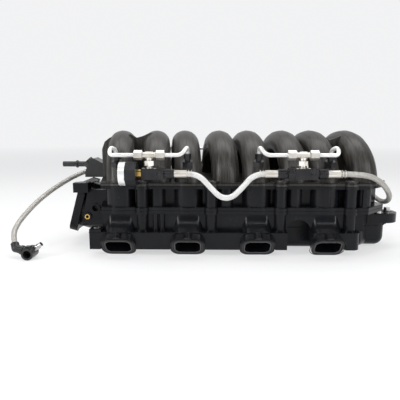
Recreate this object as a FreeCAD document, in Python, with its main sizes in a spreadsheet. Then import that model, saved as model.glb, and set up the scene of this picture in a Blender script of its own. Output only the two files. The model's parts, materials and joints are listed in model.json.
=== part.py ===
import FreeCAD, Part
import math
import os
from FreeCAD import Placement, Rotation, Vector

# Intake manifold for a V8, with a direct-port rail kit on it.
# X runs along the engine, with the throttle end at -X. The near bank is at -Y and Z is up.
# The far bank is the near bank turned half a turn about an upright axis.
# The floor is Z = 0, and the origin is the middle of the footprint.

SIZES = [
    ("port_pitch", 113.0, "between ports of one bank"),
    ("bank_offset", 42.0, "far ports ahead of near ports"),
    ("origin_x", -9.5, "shift that puts the origin in the middle of the footprint"),
    ("origin_y", 4.4, ""),
    ("runner_slant", 0.12, "sideways run of a runner for each millimetre across"),
    ("runner_y", 82.0, "upright part of a runner from the centre plane"),
    ("runner_width", 46.0, "outside, along the engine"),
    ("runner_depth", 40.0, "outside, across the engine"),
    ("runner_wall", 3.5, ""),
    ("crest_z", 202.5, "top of the runners"),
    ("column_width", 48.0, "runner column below the roof"),
    ("column_depth", 44.0, ""),
    ("port_y", 117.0, "port centre from the centre plane"),
    ("port_dip", 40.0, "port axis below level, degrees"),
    ("port_width", 41.0, "opening"),
    ("port_height", 29.0, ""),
    ("port_corner", 9.0, ""),
    ("port_bend", 45.0, "radius of the passage's bend"),
    ("port_wall", 4.0, ""),
    ("collar_width", 57.0, "land round a port"),
    ("collar_height", 42.0, ""),
    ("collar_corner", 15.0, ""),
    ("collar_depth", 11.0, ""),
    ("lug_radius", 7.0, "small round on the upper edge of each land"),
    ("seal_gap", 2.2, "from opening to seal groove"),
    ("seal_width", 2.6, ""),
    ("seal_sink", 2.0, "depth of the groove"),
    ("seal_proud", 0.8, ""),
    ("rail_left", -216.0, ""),
    ("rail_right", 222.0, ""),
    ("rail_y", 118.0, "front face of the port rail"),
    ("rail_depth", 24.0, ""),
    ("rail_bottom", 12.0, ""),
    ("rail_top", 40.0, ""),
    ("tab_height", 45.0, "top of the rail's end tab"),
    ("tab_width", 19.0, ""),
    ("skirt_y", 104.0, "outside of the lower wall"),
    ("skirt_back", 5.0, "how far the lower wall lies behind the flange"),
    ("skirt_wall", 4.0, ""),
    ("belly_right", 286.0, "round-cornered box under the ear"),
    ("belly_y", 58.0, ""),
    ("belly_top", 44.0, ""),
    ("belly_corner", 16.0, ""),
    ("deck_bottom", 68.0, ""),
    ("low_weld", 73.5, "joint of lower and middle shells"),
    ("shelf_top", 79.0, ""),
    ("roof_bottom", 109.0, ""),
    ("high_weld", 114.0, "joint of middle and upper shells"),
    ("roof_top", 119.0, ""),
    ("body_left", -198.0, "near left corner of the shells"),
    ("body_right", 274.0, "right end of the shells"),
    ("corner_cut", 38.0, "slope across the right near corner"),
    ("middle_inset", 20.0, "middle wall behind the flanges"),
    ("shell_wall", 4.0, ""),
    ("pan_bottom", 3.0, "underside of the plenum pan"),
    ("pan_inset", 30.0, "pan wall behind the flanges"),
    ("pan_corner", 14.0, ""),
    ("boss_y", 100.0, "mounting bolts from the centre plane"),
    ("boss_shift", 38.0, "from a port to its bolt, along the engine"),
    ("boss_radius", 9.5, ""),
    ("boss_foot", 12.0, "radius of the seat ring"),
    ("sleeve_radius", 6.0, ""),
    ("sleeve_proud", 3.5, "sleeves above the roof"),
    ("bolt_hole", 4.25, "radius of the mounting holes"),
    ("ghost_radius", 13.0, "half-round columns of the far runners"),
    ("arch_x", 125.0, "cut-out in the near skirt"),
    ("arch_radius", 21.0, ""),
    ("arch_spring", 37.0, "height where the round top starts"),
    ("web_y", 30.0, "cross webs in front of the centre plane"),
    ("web_thick", 6.0, ""),
    ("ear_top", 60.0, ""),
    ("ear_thick", 16.0, ""),
    ("ear_tip", 311.0, ""),
    ("ear_radius", 27.0, ""),
    ("ear_bolt_radius", 3.3, ""),
    ("ear_bolt_length", 15.0, "shank"),
    ("ear_bolt_flats", 10.0, ""),
    ("ear_bolt_high", 6.0, ""),
    ("washer_radius", 7.0, ""),
    ("washer_thick", 1.6, ""),
    ("ear_y", 32.0, "centre of the ear before the centre plane"),
    ("neck_face_x", -261.0, "throttle face centre"),
    ("neck_z", 70.0, ""),
    ("neck_tilt", 16.0, "throttle face from upright, degrees"),
    ("throttle_radius", 38.0, "bore"),
    ("flange_side", 96.0, "square throttle flange"),
    ("flange_high", 88.0, ""),
    ("flange_thick", 13.0, ""),
    ("flange_corner", 12.0, ""),
    ("bore_length", 75.0, "air way, from the throttle face into the plenum"),
    ("cheek_y", 47.0, "flat sides of the neck from the centre plane"),
    ("throttle_bolt_x", 74.0, "between throttle bolts, across"),
    ("throttle_bolt_z", 74.0, "between throttle bolts, up"),
    ("insert_radius", 4.5, ""),
    ("insert_hole", 2.75, ""),
    ("insert_length", 10.0, ""),
    ("throttle_seal_radius", 42.0, "middle of the ring"),
    ("throttle_seal_width", 3.0, ""),
    ("kit_y", 125.0, "blocks and hose ends from the centre plane"),
    ("kit_z", 136.0, ""),
    ("block_a_x", -115.0, ""),
    ("block_b_x", 122.5, ""),
    ("block_length", 25.0, ""),
    ("block_side", 17.4, ""),
    ("block_bore", 4.0, ""),
    ("plug_radius", 2.2, ""),
    ("plug_length", 3.1, ""),
    ("adapter_radius", 3.4, "stem between block and tee"),
    ("adapter_foot", 5.2, ""),
    ("line_z", 165.0, ""),
    ("line_radius", 3.175, "quarter-inch hard line"),
    ("tee_radius", 4.4, ""),
    ("tee_length", 22.0, "between its nuts"),
    ("tee_leg", 9.0, "from tee centre to the adapter"),
    ("tee_bore", 2.2, ""),
    ("nut_flats", 13.4, ""),
    ("nut_length", 12.5, ""),
    ("flare_length", 6.0, "end of a tee inside its nut"),
    ("nozzle_lean", 15.0, "nozzle axis from upright, degrees"),
    ("nozzle_y", 104.0, "foot of the nozzle from the centre plane"),
    ("nozzle_z", 146.0, ""),
    ("seat_radius", 9.4, "pocket that clears the nozzle's hexagon"),
    ("seat_depth", 16.0, ""),
    ("bung_radius", 7.5, ""),
    ("bung_depth", 18.0, ""),
    ("nozzle_hex", 15.5, "across flats"),
    ("nozzle_hex_high", 9.0, ""),
    ("nozzle_neck_high", 4.0, ""),
    ("nozzle_tip", 12.0, "threaded length inside the bung"),
    ("nozzle_tip_radius", 4.0, ""),
    ("nozzle_nut_flats", 10.5, ""),
    ("nozzle_nut_length", 9.0, ""),
    ("end_length", 26.0, "black hose end"),
    ("end_hex", 16.8, ""),
    ("end_hex_length", 10.0, ""),
    ("end_radius", 7.6, ""),
    ("end_neck_radius", 5.6, ""),
    ("collar_radius", 5.9, "crimp collar"),
    ("collar_length", 18.5, ""),
    ("hose_radius", 4.1, ""),
    ("gauge_flats", 36.6, ""),
    ("gauge_case_length", 17.0, ""),
    ("gauge_bezel_length", 10.0, ""),
    ("gauge_radius", 18.5, ""),
    ("gauge_window", 15.9, ""),
    ("dial_thick", 1.0, ""),
    ("lens_thick", 1.6, ""),
    ("pointer_radius", 0.8, "pivot"),
    ("pointer_gap", 0.08, "running clearance of the pivot"),
    ("pointer_length", 12.0, ""),
    ("pointer_width", 1.4, ""),
    ("pointer_thick", 0.6, ""),
    ("stem_flats", 11.4, ""),
    ("stem_length", 7.0, ""),
    ("vac_x", -228.0, "centre of the cap on the left end"),
    ("vac_z", 134.5, ""),
    ("vac_width", 39.0, ""),
    ("vac_depth", 34.0, ""),
    ("vac_high", 31.0, ""),
    ("vac_pipe_z", 141.5, ""),
    ("vac_pipe_radius", 5.0, ""),
    ("vac_pipe_bore", 3.4, ""),
    ("vac_tip_x", -292.0, ""),
    ("vac_bead_x", -267.0, ""),
    ("vac_bead_radius", 6.8, ""),
    ("vac_head_radius", 10.5, ""),
    ("connector_x", -318.5, "quick connector on the floor"),
    ("connector_y", -124.0, ""),
    ("connector_radius", 9.5, ""),
    ("connector_length", 24.0, ""),
    ("connector_bore", 6.4, ""),
    ("connector_arm", 6.5, "radius of the elbow"),
    ("connector_socket", 9.0, "from the hose's face to the elbow"),
    ("stub_radius", 3.6, ""),
    ("stub_length", 14.0, ""),
    ("stub_start", 9.0, "from the middle of the body"),
    ("button_side", 8.0, ""),
    ("button_high", 3.0, ""),
    ("button_gap", 0.4, ""),
]

doc = FreeCAD.newDocument("intake_manifold")
sheet = doc.addObject("Spreadsheet::Sheet", "dim")
for row, (alias, value, note) in enumerate(SIZES, 1):
    sheet.set("A%d" % row, note)
    sheet.set("B%d" % row, str(value))
    sheet.setAlias("B%d" % row, alias)
doc.recompute()


def dim(alias):
    """A driving size, read from the sheet."""
    return float(sheet.get(alias))


X_AXIS, Y_AXIS, Z_AXIS = Vector(1, 0, 0), Vector(0, 1, 0), Vector(0, 0, 1)
NEAR = Placement()
FAR = Placement(Vector(dim("bank_offset"), 0, 0), Rotation(Z_AXIS, 180))
BANKS = {"near": NEAR, "far": FAR}
TO_ORIGIN = Placement(Vector(dim("origin_x"), dim("origin_y"), 0), Rotation())
PORT_X = [(place - 1.5) * dim("port_pitch") for place in range(4)]
OUTER_X = (PORT_X[0], PORT_X[3])
SLANT = math.degrees(math.atan(dim("runner_slant")))
nodes = []


# ---- helpers -------------------------------------------------------------------------------

def bind(item, **sizes):
    """Tie properties of a document object to expressions on the sheet."""
    for name, text in sizes.items():
        item.setExpression(name, text)
    return item


def facing(direction):
    return Rotation(Z_AXIS, direction)


def cylinder(radius, height, base, axis=Z_AXIS, bank=NEAR):
    item = doc.addObject("Part::Cylinder", "cylinder")
    bind(item, Radius=radius, Height=height)
    item.Placement = bank.multiply(Placement(base, facing(axis)))
    return item


def ball(radius, centre):
    item = doc.addObject("Part::Sphere", "ball")
    bind(item, Radius=radius)
    item.Placement = Placement(centre, Rotation())
    return item


def cone(low_radius, high_radius, height, base, axis=Z_AXIS, bank=NEAR):
    item = doc.addObject("Part::Cone", "cone")
    bind(item, Radius1=low_radius, Radius2=high_radius, Height=height)
    item.Placement = bank.multiply(Placement(base, facing(axis)))
    return item


def box(length, width, height, corner, bank=NEAR, turn=Rotation()):
    item = doc.addObject("Part::Box", "box")
    bind(item, Length=length, Width=width, Height=height)
    item.Placement = bank.multiply(Placement(corner, turn))
    return item


def prism(sides, across_flats, height, base, axis=Z_AXIS, bank=NEAR, spin=0.0):
    """A regular prism that stands on base, with its size given across flats."""
    item = doc.addObject("Part::Prism", "prism")
    item.Polygon = sides
    bind(item, Circumradius="(%s) / 2 / cos(180deg / %d)" % (across_flats, sides), Height=height)
    item.Placement = bank.multiply(Placement(base, facing(axis).multiply(Rotation(Z_AXIS, spin))))
    return item


def plate(points, base_z, thickness, bank=NEAR):
    """A level plate of any outline."""
    outline = doc.addObject("Part::Polygon", "outline")
    outline.Nodes = [Vector(x, y, base_z) for x, y in points]
    outline.Close = True
    outline.Placement = bank
    item = doc.addObject("Part::Extrusion", "plate")
    item.Base = outline
    item.DirMode = "Custom"
    item.Dir = Z_AXIS
    item.Solid = True
    bind(item, LengthFwd=thickness)
    return item


def side_plate(points, y, thickness, bank=NEAR):
    """An upright plate whose outline is given in X and Z, and which is thick towards +Y."""
    outline = doc.addObject("Part::Polygon", "outline")
    outline.Nodes = [Vector(x, y, z) for x, z in points]
    outline.Close = True
    item = doc.addObject("Part::Extrusion", "side_plate")
    item.Base = outline
    item.DirMode = "Custom"
    item.Dir = Y_AXIS
    item.Solid = True
    bind(item, LengthFwd=thickness)
    item.Placement = bank
    return item


def rounded_rectangle(width, height, corner):
    """A closed wire in the XY plane, centred on the origin."""
    half_x, half_y = width / 2, height / 2
    diagonal = corner * (1 - math.sqrt(0.5))
    edges = []
    for turn in range(4):
        side_x, side_y = (half_x, half_y) if turn % 2 == 0 else (half_y, half_x)
        spin = Rotation(Z_AXIS, 90 * turn)
        start = Vector(side_x, corner - side_y, 0)
        end = Vector(side_x, side_y - corner, 0)
        middle = Vector(side_x - diagonal, side_y - diagonal, 0)
        after = Vector(side_x - corner, side_y, 0)
        edges.append(Part.LineSegment(spin.multVec(start), spin.multVec(end)).toShape())
        edges.append(Part.Arc(*[spin.multVec(p) for p in (end, middle, after)]).toShape())
    return Part.Wire(Part.__sortEdges__(edges))


def feature(shape, placement=NEAR, name="feature"):
    item = doc.addObject("Part::Feature", name)
    item.Shape = shape
    item.Placement = placement
    return item


def ring_block(width, height, corner, depth, placement):
    """A rounded-rectangle block that goes from placement's plane along its -Z."""
    face = Part.Face(rounded_rectangle(width, height, corner))
    return feature(face.extrude(Vector(0, 0, -depth)), placement, "block")


def sweep(path, profile):
    item = doc.addObject("Part::Sweep", "sweep")
    item.Sections = [profile]
    item.Spine = (path, ["Edge%d" % (i + 1) for i in range(len(path.Shape.Edges))])
    item.Solid = True
    item.Frenet = False
    return item


def ellipse(major, minor, placement):
    item = doc.addObject("Part::Ellipse", "ellipse")
    bind(item, MajorRadius=major, MinorRadius=minor)
    item.Placement = placement
    return item


def fuse(items):
    item = doc.addObject("Part::MultiFuse", "fuse")
    item.Shapes = items
    item.Refine = True
    return item


def cut(base, tools):
    item = doc.addObject("Part::Cut", "cut")
    item.Base = base
    item.Tool = tools[0] if len(tools) == 1 else doc.addObject("Part::Compound", "tools")
    if len(tools) > 1:
        item.Tool.Links = tools
    return item


def fillet(base, radius, chosen):
    """Round the edges of base that chosen picks."""
    doc.recompute()
    item = doc.addObject("Part::Fillet", "fillet")
    item.Base = base
    item.Edges = [(i, radius, radius) for i, e in enumerate(base.Shape.Edges, 1) if chosen(e)]
    return item


def node(label, items):
    """One named piece, or one group of like pieces, moved to the part's origin."""
    if isinstance(items, list):
        item = doc.addObject("Part::Compound", label)
        item.Links = items
    else:
        item = items
    item.Placement = TO_ORIGIN.multiply(item.Placement)
    item.Label = label
    nodes.append(item)
    return item


def upright(edge):
    tangent = edge.tangentAt(edge.FirstParameter)
    return abs(tangent.z) > 0.99


def route_wire(points):
    """Straight runs joined by tangent arcs, each arc as large as its two runs allow."""
    points = [Vector(*p) for p in points]
    edges, radii, start = [], [], points[0]
    for before, corner, after in zip(points, points[1:], points[2:]):
        back, ahead = (before - corner), (after - corner)
        half_turn = (math.pi - back.getAngle(ahead)) / 2
        reach = 0.45 * min(back.Length, ahead.Length)
        radius = reach / math.tan(half_turn)
        back.normalize()
        ahead.normalize()
        middle = back + ahead
        middle.normalize()
        to_centre = radius / math.cos(half_turn)
        first, last = corner + back * reach, corner + ahead * reach
        edges.append(Part.LineSegment(start, first).toShape())
        edges.append(Part.Arc(first, corner + middle * (to_centre - radius), last).toShape())
        radii.append(radius)
        start = last
    edges.append(Part.LineSegment(start, points[-1]).toShape())
    return Part.Wire(edges), radii


def tube(label, points, radius, placement=NEAR):
    """A solid tube along a route, with its volume compared with its length."""
    wire, radii = route_wire(points)
    direction = Vector(*points[1]) - Vector(*points[0])
    circle = Part.Wire(Part.makeCircle(radius, Vector(*points[0]), direction))
    solid = wire.makePipeShell([circle], True, False)
    expected = math.pi * radius ** 2 * wire.Length
    print("%s length %.1f tightest radius %.1f volume ratio %.4f"
          % (label, wire.Length, min(radii), solid.Volume / expected))
    return feature(solid, placement, label)


# ---- outlines shared by the shells ---------------------------------------------------------

def half_turned(points):
    return [(dim("bank_offset") - x, -y) for x, y in points]


def shell_outline(inset_x, inset_y):
    """The shells' plan: two like halves, with one corner of each cut off."""
    near_y = dim("skirt_y") - inset_y
    left = dim("body_left") + inset_x
    right = dim("body_right") - inset_x
    half = [(left, -near_y), (right - dim("corner_cut"), -near_y),
            (right, -near_y + dim("corner_cut"))]
    return half + half_turned(half)


def bolt_points():
    """The four mounting holes in one bank's bosses, each beside its port."""
    return [x + dim("boss_shift") for x in PORT_X]


def port_frame(x):
    """Z leaves the port along its axis, X runs along the engine."""
    return Placement(Vector(x, -dim("port_y"), PORT_Z), Rotation(X_AXIS, 90 + dim("port_dip")))


PORT_Z = dim("collar_height") / 2 * math.cos(math.radians(dim("port_dip")))
TAB_X = dim("rail_left") + dim("tab_width") / 2


# ---- runners -------------------------------------------------------------------------------

def arch_path(x, bank):
    """Half an ellipse over the engine, from the far side to the near side."""
    across = dim("runner_y")
    rise = dim("crest_z") - dim("runner_depth") / 2 - dim("high_weld")
    centre = Vector(x - dim("runner_slant") * across, 0, dim("high_weld"))
    far_foot = centre + Vector(-dim("runner_slant") * across, across, 0)
    curve = Part.Ellipse(far_foot, centre + Vector(0, 0, rise), centre)
    return feature(Part.ArcOfEllipse(curve, 0, math.pi).toShape(), bank, "arch_path")


def arch(x, bank, wall):
    """One runner arch; wall is how much thinner than the outside it is, as an expression."""
    foot = Vector(x - 2 * dim("runner_slant") * dim("runner_y"), dim("runner_y"), dim("high_weld"))
    path = arch_path(x, bank)
    profile = ellipse("dim.runner_width / 2 - %s" % wall, "dim.runner_depth / 2 - %s" % wall,
                      bank.multiply(Placement(foot, Rotation(Z_AXIS, SLANT))))
    return sweep(path, profile)


def column(x, y, bank, base_z, height, wall="0"):
    """An upright oval column or passage."""
    profile = ellipse("dim.column_width / 2 - %s" % wall, "dim.column_depth / 2 - %s" % wall,
                      bank.multiply(Placement(Vector(x, y, base_z), Rotation())))
    item = doc.addObject("Part::Extrusion", "column")
    item.Base = profile
    item.DirMode = "Custom"
    item.Dir = Z_AXIS
    item.Solid = True
    bind(item, LengthFwd=height)
    return item


def port_passage(x, bank, extra):
    """The passage from the port up to the weld; extra is added all round for its outside."""
    dip = math.radians(dim("port_dip"))
    inward = Vector(0, math.cos(dip), math.sin(dip))
    mouth = Vector(x, -dim("port_y"), PORT_Z)
    bend = dim("port_bend")
    straight = (dim("port_y") - dim("runner_y") - bend * (1 - math.sin(dip))) / math.cos(dip)
    knee = mouth + inward * straight
    centre = Vector(x, -dim("runner_y") - bend, knee.z + bend * math.cos(dip))
    half = (dip + math.pi / 2) / 2
    middle = centre + Vector(0, bend * math.sin(half), -bend * math.cos(half))
    top = Vector(x, -dim("runner_y"), centre.z)
    end = Vector(x, -dim("runner_y"), dim("low_weld"))
    wire = Part.Wire([Part.LineSegment(mouth, knee).toShape(),
                      Part.Arc(knee, middle, top).toShape(),
                      Part.LineSegment(top, end).toShape()])
    path = feature(wire, bank, "port_path")
    outline = rounded_rectangle(dim("port_width") + 2 * extra, dim("port_height") + 2 * extra,
                                dim("port_corner") + extra)
    return sweep(path, feature(outline, bank.multiply(port_frame(x)), "port_outline"))


def nozzle_axis():
    lean = math.radians(dim("nozzle_lean"))
    return Vector(0, -math.sin(lean), math.cos(lean))


def nozzle_foot(x):
    return Vector(x, -dim("nozzle_y"), dim("nozzle_z"))


# ---- shells --------------------------------------------------------------------------------

def bosses(base_z, height, bank, radius="dim.boss_radius"):
    return [cylinder(radius, height, Vector(x, -dim("boss_y"), base_z), bank=bank)
            for x in bolt_points()]


def sleeve_holes(bank):
    tall = "dim.roof_top - dim.rail_bottom + 20"
    tab = "dim.tab_height - dim.rail_bottom + 20"
    holes = [cylinder("dim.sleeve_radius", tall,
                      Vector(x, -dim("boss_y"), dim("rail_bottom") - 10), bank=bank)
             for x in bolt_points()]
    holes.append(cylinder("dim.sleeve_radius", tab,
                          Vector(TAB_X, -dim("boss_y") - 4, dim("rail_bottom") - 10), bank=bank))
    return holes


def flange(base_z, thickness):
    """A weld flange: the shells' plan with a bulge at each column and boss."""
    items = [plate(shell_outline(0, 0), base_z, thickness)]
    for bank in BANKS.values():
        items += [column(x, -dim("runner_y") - 3, bank, base_z, thickness) for x in PORT_X]
        items += [cylinder("dim.boss_foot", thickness, Vector(x, -dim("boss_y"), base_z), bank=bank)
                  for x in bolt_points()]
    return items


def upper_shell():
    solid = flange(dim("high_weld"), "dim.roof_top - dim.high_weld")
    hollow = []
    for bank in BANKS.values():
        axis = nozzle_axis()
        for x in PORT_X:
            solid.append(arch(x, bank, "0"))
            hollow.append(arch(x, bank, "dim.runner_wall"))
            base = nozzle_foot(x) - axis * dim("bung_depth")
            solid.append(cylinder("dim.bung_radius", "dim.bung_depth", base, axis, bank))
            hollow.append(cylinder("dim.nozzle_tip_radius", "dim.nozzle_tip + 1",
                                   nozzle_foot(x) - axis * dim("nozzle_tip"), axis, bank))
            hollow.append(cylinder("dim.seat_radius", "dim.seat_depth", nozzle_foot(x), axis, bank))
        solid += bosses(dim("high_weld"), "dim.roof_top - dim.high_weld + 3", bank,
                        "dim.boss_radius + 1")
        hollow += sleeve_holes(bank)
    low, web = dim("roof_top") - 2, -dim("web_y")
    left = [(-212, low), (-212, 170), (-207, 183), (-198, 190), (-188, 193), (-160, 196), (-150, 190),
            (-139, 193), (-128, 198), (-112, 198), (-112, low)]
    right = [(155, low), (155, 192), (172, 197), (188, 186), (205, 192), (222, 196), (240, 190),
             (258, 173), (266, 152), (266, low)]
    solid.append(side_plate(left, web, "dim.web_thick"))
    solid.append(side_plate(right, web, "dim.web_thick"))
    node("upper_shell", cut(fuse(solid), hollow))


def middle_shell():
    solid = flange(dim("low_weld"), "dim.shelf_top - dim.low_weld")
    solid += flange(dim("roof_bottom"), "dim.high_weld - dim.roof_bottom")
    height = "dim.roof_bottom - dim.shelf_top"
    wall = cut(plate(shell_outline(6, dim("middle_inset")), dim("shelf_top"), height),
               [plate(shell_outline(10, dim("middle_inset") + dim("shell_wall")),
                      dim("shelf_top"), height)])
    solid.append(wall)
    through = [plate(shell_outline(12, dim("pan_inset") + 6), dim("low_weld") - 1,
                     "dim.shelf_top - dim.low_weld + 2")]
    whole = "dim.high_weld - dim.low_weld"
    for bank in BANKS.values():
        for x in PORT_X:
            across = 2 * dim("runner_y")
            solid.append(column(x, -dim("runner_y"), bank, dim("low_weld"), whole))
            ghost_x = dim("bank_offset") - x + dim("runner_slant") * across
            solid.append(cylinder("dim.ghost_radius", height,
                                  Vector(ghost_x, -dim("skirt_y") + dim("ghost_radius") + 4,
                                         dim("shelf_top")), bank=bank))
            through.append(column(x, -dim("runner_y"), bank, dim("low_weld") - 1,
                                  whole + " + 2", "dim.port_wall"))
            through.append(column(x - dim("runner_slant") * across, dim("runner_y") - 8, bank,
                                  dim("roof_bottom") - 1, "dim.high_weld - dim.roof_bottom + 2",
                                  "dim.port_wall + 4"))
        solid += bosses(dim("low_weld"), whole, bank)
        through += sleeve_holes(bank)
    solid.append(box("5", "18", "dim.roof_bottom - dim.shelf_top",
                     Vector(226, -dim("skirt_y"), dim("shelf_top"))))
    solid.append(cylinder("6", height, Vector(170, 5 - dim("skirt_y"), dim("shelf_top"))))
    through.append(throttle_bore())
    node("middle_shell", cut(fuse(solid), through))


def rail(bank):
    """The bar that joins one bank's ports, with its end tab and its round end."""
    y, low, top = -dim("rail_y"), dim("rail_bottom"), dim("rail_top")
    items = [box("dim.rail_right - dim.boss_radius - dim.rail_left", "dim.rail_depth",
                 "dim.rail_top - dim.rail_bottom", Vector(dim("rail_left"), y, low), bank)]
    end_x = dim("rail_right") - dim("boss_radius")
    items.append(cylinder("dim.rail_depth / 2", "dim.rail_top - dim.rail_bottom",
                          Vector(end_x - 3, y + dim("rail_depth") / 2, low), bank=bank))
    items.append(box("dim.tab_width", "dim.rail_depth", "dim.tab_height - dim.rail_bottom",
                     Vector(dim("rail_left"), y, low), bank))
    items += [cylinder("dim.boss_foot", "1.6", Vector(x, -dim("boss_y"), top), bank=bank)
              for x in bolt_points()]
    return items


def pan():
    """The plenum's floor, with rounded corners."""
    outer = plate(shell_outline(0, dim("pan_inset")), dim("pan_bottom"),
                  "dim.low_weld - dim.pan_bottom")
    outer = fillet(outer, dim("pan_corner"),
                   lambda e: upright(e) or abs(e.CenterOfMass.z - dim("pan_bottom")) < 0.1)
    inner = plate(shell_outline(dim("shell_wall"), dim("pan_inset") + dim("shell_wall")),
                  dim("pan_bottom") + dim("shell_wall"), "dim.low_weld - dim.pan_bottom")
    return outer, inner


def belly():
    """The pan's deeper right end; its hollow runs into the pan's."""
    wall, left = dim("shell_wall"), dim("body_right") - 60
    outer = box("dim.belly_right - %f" % left, "2 * dim.belly_y", "dim.belly_top - dim.pan_bottom",
                Vector(left, -dim("belly_y"), dim("pan_bottom")))
    outer = fillet(outer, dim("belly_corner"), lambda e: e.CenterOfMass.x > left + 10
                   and (upright(e) or abs(e.CenterOfMass.z - dim("pan_bottom")) < 0.1))
    inner = box("dim.belly_right - %f" % (left + wall), "2 * dim.belly_y - 2 * dim.shell_wall - 12",
                "dim.belly_top - dim.pan_bottom - 2 * dim.shell_wall - 4",
                Vector(left, 6 + wall - dim("belly_y"), dim("pan_bottom") + wall + 4))
    return outer, fillet(inner, dim("belly_corner") / 2,
                         lambda e: upright(e) and e.CenterOfMass.x > left + 10)


def ear():
    """The support ear at the right end, with a gusset under it."""
    low = dim("ear_top") - dim("ear_thick")
    tip = dim("ear_tip") - dim("ear_radius")
    root = dim("body_right") - 22
    shape = [box("%f" % (tip - root), "2 * dim.ear_radius", "dim.ear_thick",
                 Vector(root, -dim("ear_y") - dim("ear_radius"), low)),
             cylinder("dim.ear_radius", "dim.ear_thick", Vector(tip, -dim("ear_y"), low)),
             cylinder("dim.ear_radius - 3", "dim.ear_thick + 0.5", Vector(tip, -dim("ear_y"), low))]
    shape += [cylinder("dim.washer_radius + 2", "dim.ear_thick + %f" % lift, Vector(x, y, low))
              for x, y, lift in ear_bolt_spots()]
    gusset = [(root, low), (tip + 8, low), (root + 12, low - 14), (root, low - 14)]
    return shape + [side_plate(gusset, -dim("ear_y") - 20, "5")]


def ear_bolt_spots():
    tip = dim("ear_tip") - dim("ear_radius")
    return [(tip - 10, -dim("ear_y") - 17, 0.8), (tip + 13, -dim("ear_y") + 2, 0.8)]


def lower_shell():
    solid = flange(dim("deck_bottom"), "dim.low_weld - dim.deck_bottom")
    pan_out, pan_in = pan()
    solid.append(pan_out)
    belly_out, belly_in = belly()
    solid.append(belly_out)
    hollow = [pan_in, belly_in]
    skirt_high = "dim.deck_bottom - dim.rail_top + 2"
    for bank in BANKS.values():
        solid += rail(bank)
        solid += bosses(dim("rail_bottom"), "dim.low_weld - dim.rail_bottom", bank)
        solid.append(box("%f" % (dim("rail_right") + 9 - dim("body_left")), "dim.skirt_wall",
                         skirt_high, Vector(dim("body_left"), dim("skirt_back") - dim("skirt_y"),
                                            dim("rail_top") - 1),
                         bank))
        for x in PORT_X:
            solid.append(port_passage(x, bank, dim("port_wall")))
            hollow.append(port_passage(x, bank, 0.0))
            frame = bank.multiply(port_frame(x))
            solid.append(ring_block(dim("collar_width"), dim("collar_height"),
                                    dim("collar_corner"), dim("collar_depth"), frame))
            lug_up = Vector(0, dim("collar_height") / 2 - 2, -dim("collar_depth"))
            lug = feature(Part.makeCylinder(dim("lug_radius"), dim("collar_depth")),
                          frame.multiply(Placement(lug_up, Rotation())), "lug")
            solid.append(lug)
            front = frame.multiply(Placement(Vector(0, 0, 4), Rotation()))
            hollow += [seal_ring(frame, dim("seal_sink"), 0.0),
                       ring_block(dim("collar_width"), dim("collar_height"),
                                  dim("collar_corner"), 4, front)]
            hollow.append(cylinder("1.7", "5", Vector(x - 4, 3 - dim("rail_y"), 27),
                                   Vector(0, -0.77, -0.64), bank))
        for x in (-110, -99):
            solid.append(cylinder("4.5", skirt_high,
                                  Vector(x, 3 - dim("skirt_y"), dim("rail_top") - 1), bank=bank))
        hollow += sleeve_holes(bank)
    solid += ear()
    hollow += [cylinder("dim.ear_bolt_radius", "30", Vector(x, y, dim("ear_top") - 15))
               for x, y, _ in ear_bolt_spots()]
    hollow.append(throttle_bore())
    arch_x, top = dim("arch_x"), dim("arch_spring")
    cut_y = -dim("rail_y") - 1
    hollow.append(box("2 * dim.arch_radius", "dim.rail_depth + 2", "%f" % top,
                      Vector(arch_x - dim("arch_radius"), cut_y, 0)))
    hollow.append(cylinder("dim.arch_radius", "dim.rail_depth + 2",
                           Vector(arch_x, cut_y, top), Y_AXIS))
    node("lower_shell", cut(fuse(solid), hollow))


def seal_ring(frame, sink, proud):
    """A rounded rectangular ring round a port, from sink below its face to proud above it."""
    gap, wide = dim("seal_gap"), dim("seal_width")
    depth = sink + proud
    lifted = frame.multiply(Placement(Vector(0, 0, proud), Rotation()))
    outer_grow, inner_grow = 2 * (gap + wide), 2 * gap
    outer = rounded_rectangle(dim("port_width") + outer_grow, dim("port_height") + outer_grow,
                              dim("port_corner") + outer_grow / 2)
    inner = rounded_rectangle(dim("port_width") + inner_grow, dim("port_height") + inner_grow,
                              dim("port_corner") + inner_grow / 2)
    solid = Part.Face(outer).extrude(Vector(0, 0, -depth))
    return feature(solid.cut(Part.Face(inner).extrude(Vector(0, 0, -depth))), lifted, "seal")


def port_seals():
    for name, bank in BANKS.items():
        node("port_seals_" + name,
             [seal_ring(bank.multiply(port_frame(x)), dim("seal_sink"), dim("seal_proud"))
              for x in PORT_X])


def tubes(radius, hole, length, spots):
    """Like upright or leaning tubes, one for each base point, axis and bank in spots."""
    return [cut(cylinder(radius, length, base, axis, bank), [cylinder(hole, length, base, axis, bank)])
            for base, axis, bank in spots]


def bolt_sleeves():
    low = dim("rail_bottom")
    items = []
    for bank in BANKS.values():
        spots = [(Vector(x, -dim("boss_y"), low), Z_AXIS, bank) for x in bolt_points()]
        items += tubes("dim.sleeve_radius", "dim.bolt_hole",
                       "dim.roof_top - dim.rail_bottom + dim.sleeve_proud", spots)
        items += tubes("dim.sleeve_radius", "dim.bolt_hole",
                       "dim.tab_height - dim.rail_bottom + 0.5",
                       [(Vector(TAB_X, -dim("boss_y") - 4, low), Z_AXIS, bank)])
    node("bolt_sleeves", items)


def ear_bolts():
    items = []
    for x, y, lift in ear_bolt_spots():
        seat = Vector(x, y, dim("ear_top") + lift)
        items.append(fuse([cylinder("dim.washer_radius", "dim.washer_thick", seat),
                           prism(6, "dim.ear_bolt_flats", "dim.ear_bolt_high", seat),
                           cylinder("dim.ear_bolt_radius", "dim.ear_bolt_length",
                                    seat - Z_AXIS * dim("ear_bolt_length"))]))
    node("ear_bolts", items)


# ---- throttle end --------------------------------------------------------------------------

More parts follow.
